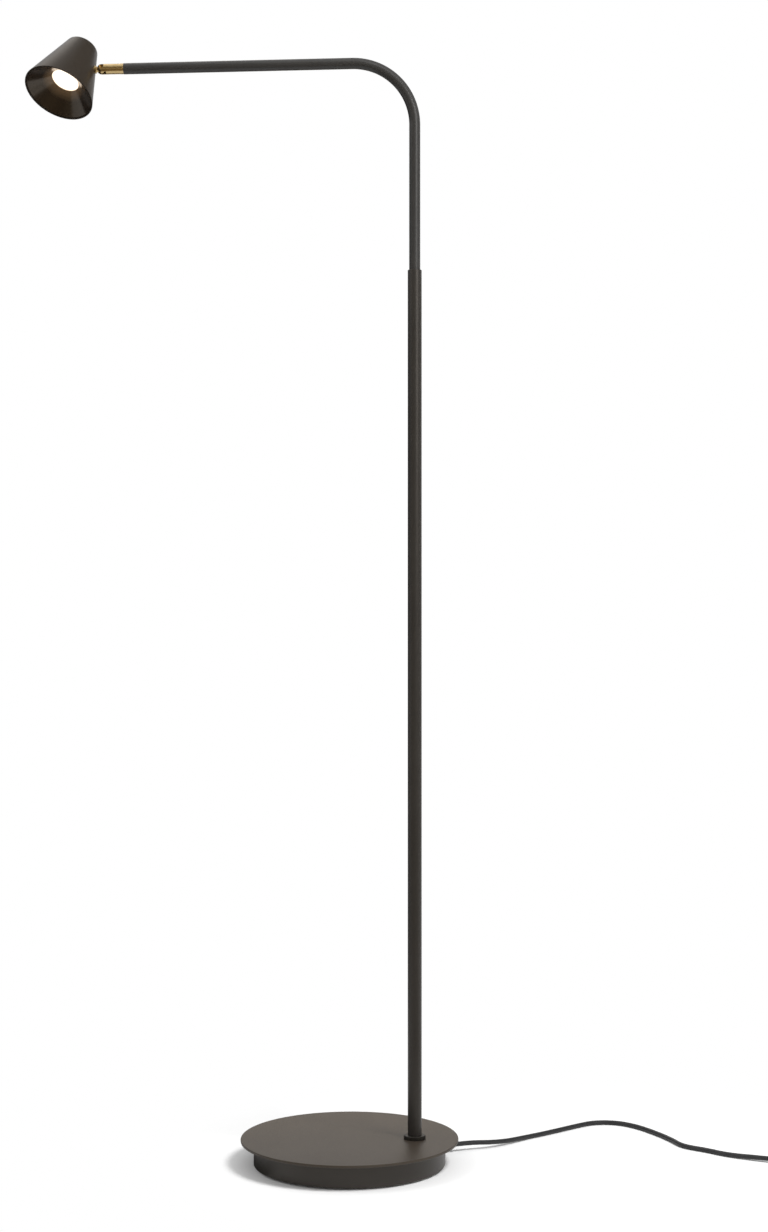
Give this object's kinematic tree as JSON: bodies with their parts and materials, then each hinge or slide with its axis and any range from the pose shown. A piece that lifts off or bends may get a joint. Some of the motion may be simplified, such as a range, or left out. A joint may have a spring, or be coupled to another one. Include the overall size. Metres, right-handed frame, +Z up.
{
  "type": "floor lamp",
  "caption": "Slim reading floor lamp: weighted round base, telescoping pole, bent swing arm and a conical spot head on a brass knuckle.",
  "frame": {"origin": "middle of the base's underside, on the floor", "axes": "+Z up the pole, the arm reaching towards -X, the pole standing off centre towards +X"},
  "size_m": [1.0205, 0.3478, 1.3046],
  "materials": {
    "black_paint": "matte, fine powder texture",
    "cast_iron": "as cast",
    "zinc_steel": "zinc plated",
    "pad_rubber": "matte",
    "driver_plastic": "satin",
    "nylon": "satin",
    "ring_rubber": "satin",
    "brass": "satin, turned",
    "heat_sink_alloy": "anodised",
    "board_white": "satin",
    "led_phosphor": "matte",
    "lens_clear": "frosted face",
    "black_plastic": "fine texture",
    "reflector_black": "semi-gloss",
    "button_plastic": "satin",
    "cord_sheath": "satin",
    "lead_sheath": "satin",
    "plug_pin_metal": "nickel plated"
  },
  "bodies": {
    "base": {"base_disc": "black_paint", "plinth_skirt": "black_paint", "base_ballast": "cast_iron", "disc_studs": "zinc_steel", "stud_nuts": "zinc_steel", "bottom_cover": "zinc_steel", "cover_screws": "zinc_steel", "floor_pad": "pad_rubber", "led_driver": "driver_plastic", "driver_screws": "zinc_steel", "foot_collar": "black_paint", "pole_insert": "zinc_steel", "foot_nipple": "zinc_steel", "foot_washer": "zinc_steel", "foot_nut": "zinc_steel", "pole_tube": "black_paint", "guide_bush": "nylon", "strain_relief": "black_plastic", "supply_lead": "cord_sheath", "pole_lead": "lead_sheath", "mains_lead": "cord_sheath", "lead_tail": "cord_sheath", "lead_coil": "cord_sheath", "coil_tie": "black_plastic", "plug_lead": "cord_sheath", "plug_body": "black_plastic", "plug_pins": "plug_pin_metal", "switch_base": "black_plastic", "switch_cover": "black_plastic", "switch_screws": "zinc_steel", "switch_spring": "zinc_steel"},
    "slider": {"slide_plug": "nylon", "brake_rings": "ring_rubber"},
    "arm": {"arm_tube": "black_paint", "swivel_screw": "zinc_steel", "arm_ferrule": "brass", "arm_lead": "lead_sheath"},
    "knuckle": {"knuckle_fork": "brass", "spring_washer": "zinc_steel", "fork_nut": "brass", "pivot_screw": "brass"},
    "head": {"knuckle_tongue": "brass", "friction_washers": "nylon", "shade": "black_paint", "heat_sink": "heat_sink_alloy", "led_board": "board_white", "led_chip": "led_phosphor", "board_screws": "zinc_steel", "lens": "lens_clear", "lens_holder": "black_plastic", "reflector": "reflector_black"},
    "foot_button": {"switch_button": "button_plastic"}
  },
  "joints": [
    {"name": "height_slide", "type": "slide", "parent": "base", "child": "slider", "axis": [0, 0, 1], "range_m": [-0.16, 0.07]},
    {"name": "arm_swivel", "type": "hinge", "parent": "slider", "child": "arm", "pos_m": [0.075, 0, 0.9], "axis": [0, 0, 1], "range_deg": [-150, 150]},
    {"name": "head_roll", "type": "hinge", "parent": "arm", "child": "knuckle", "pos_m": [-0.289, 0, 1.2645], "axis": [1, 0, 0], "range_deg": [-119, 181]},
    {"name": "head_tilt", "type": "hinge", "parent": "knuckle", "child": "head", "pos_m": [-0.289, 0, 1.2645], "axis": [0, -0.8572, 0.515], "range_deg": [-80, 75]},
    {"name": "foot_press", "type": "slide", "parent": "base", "child": "foot_button", "axis": [0, 0, -1], "range_m": [0, 0.003], "stiffness_N_per_m": 1500, "springref_m": -0.002, "deforming": ["switch_spring"]}
  ]
}
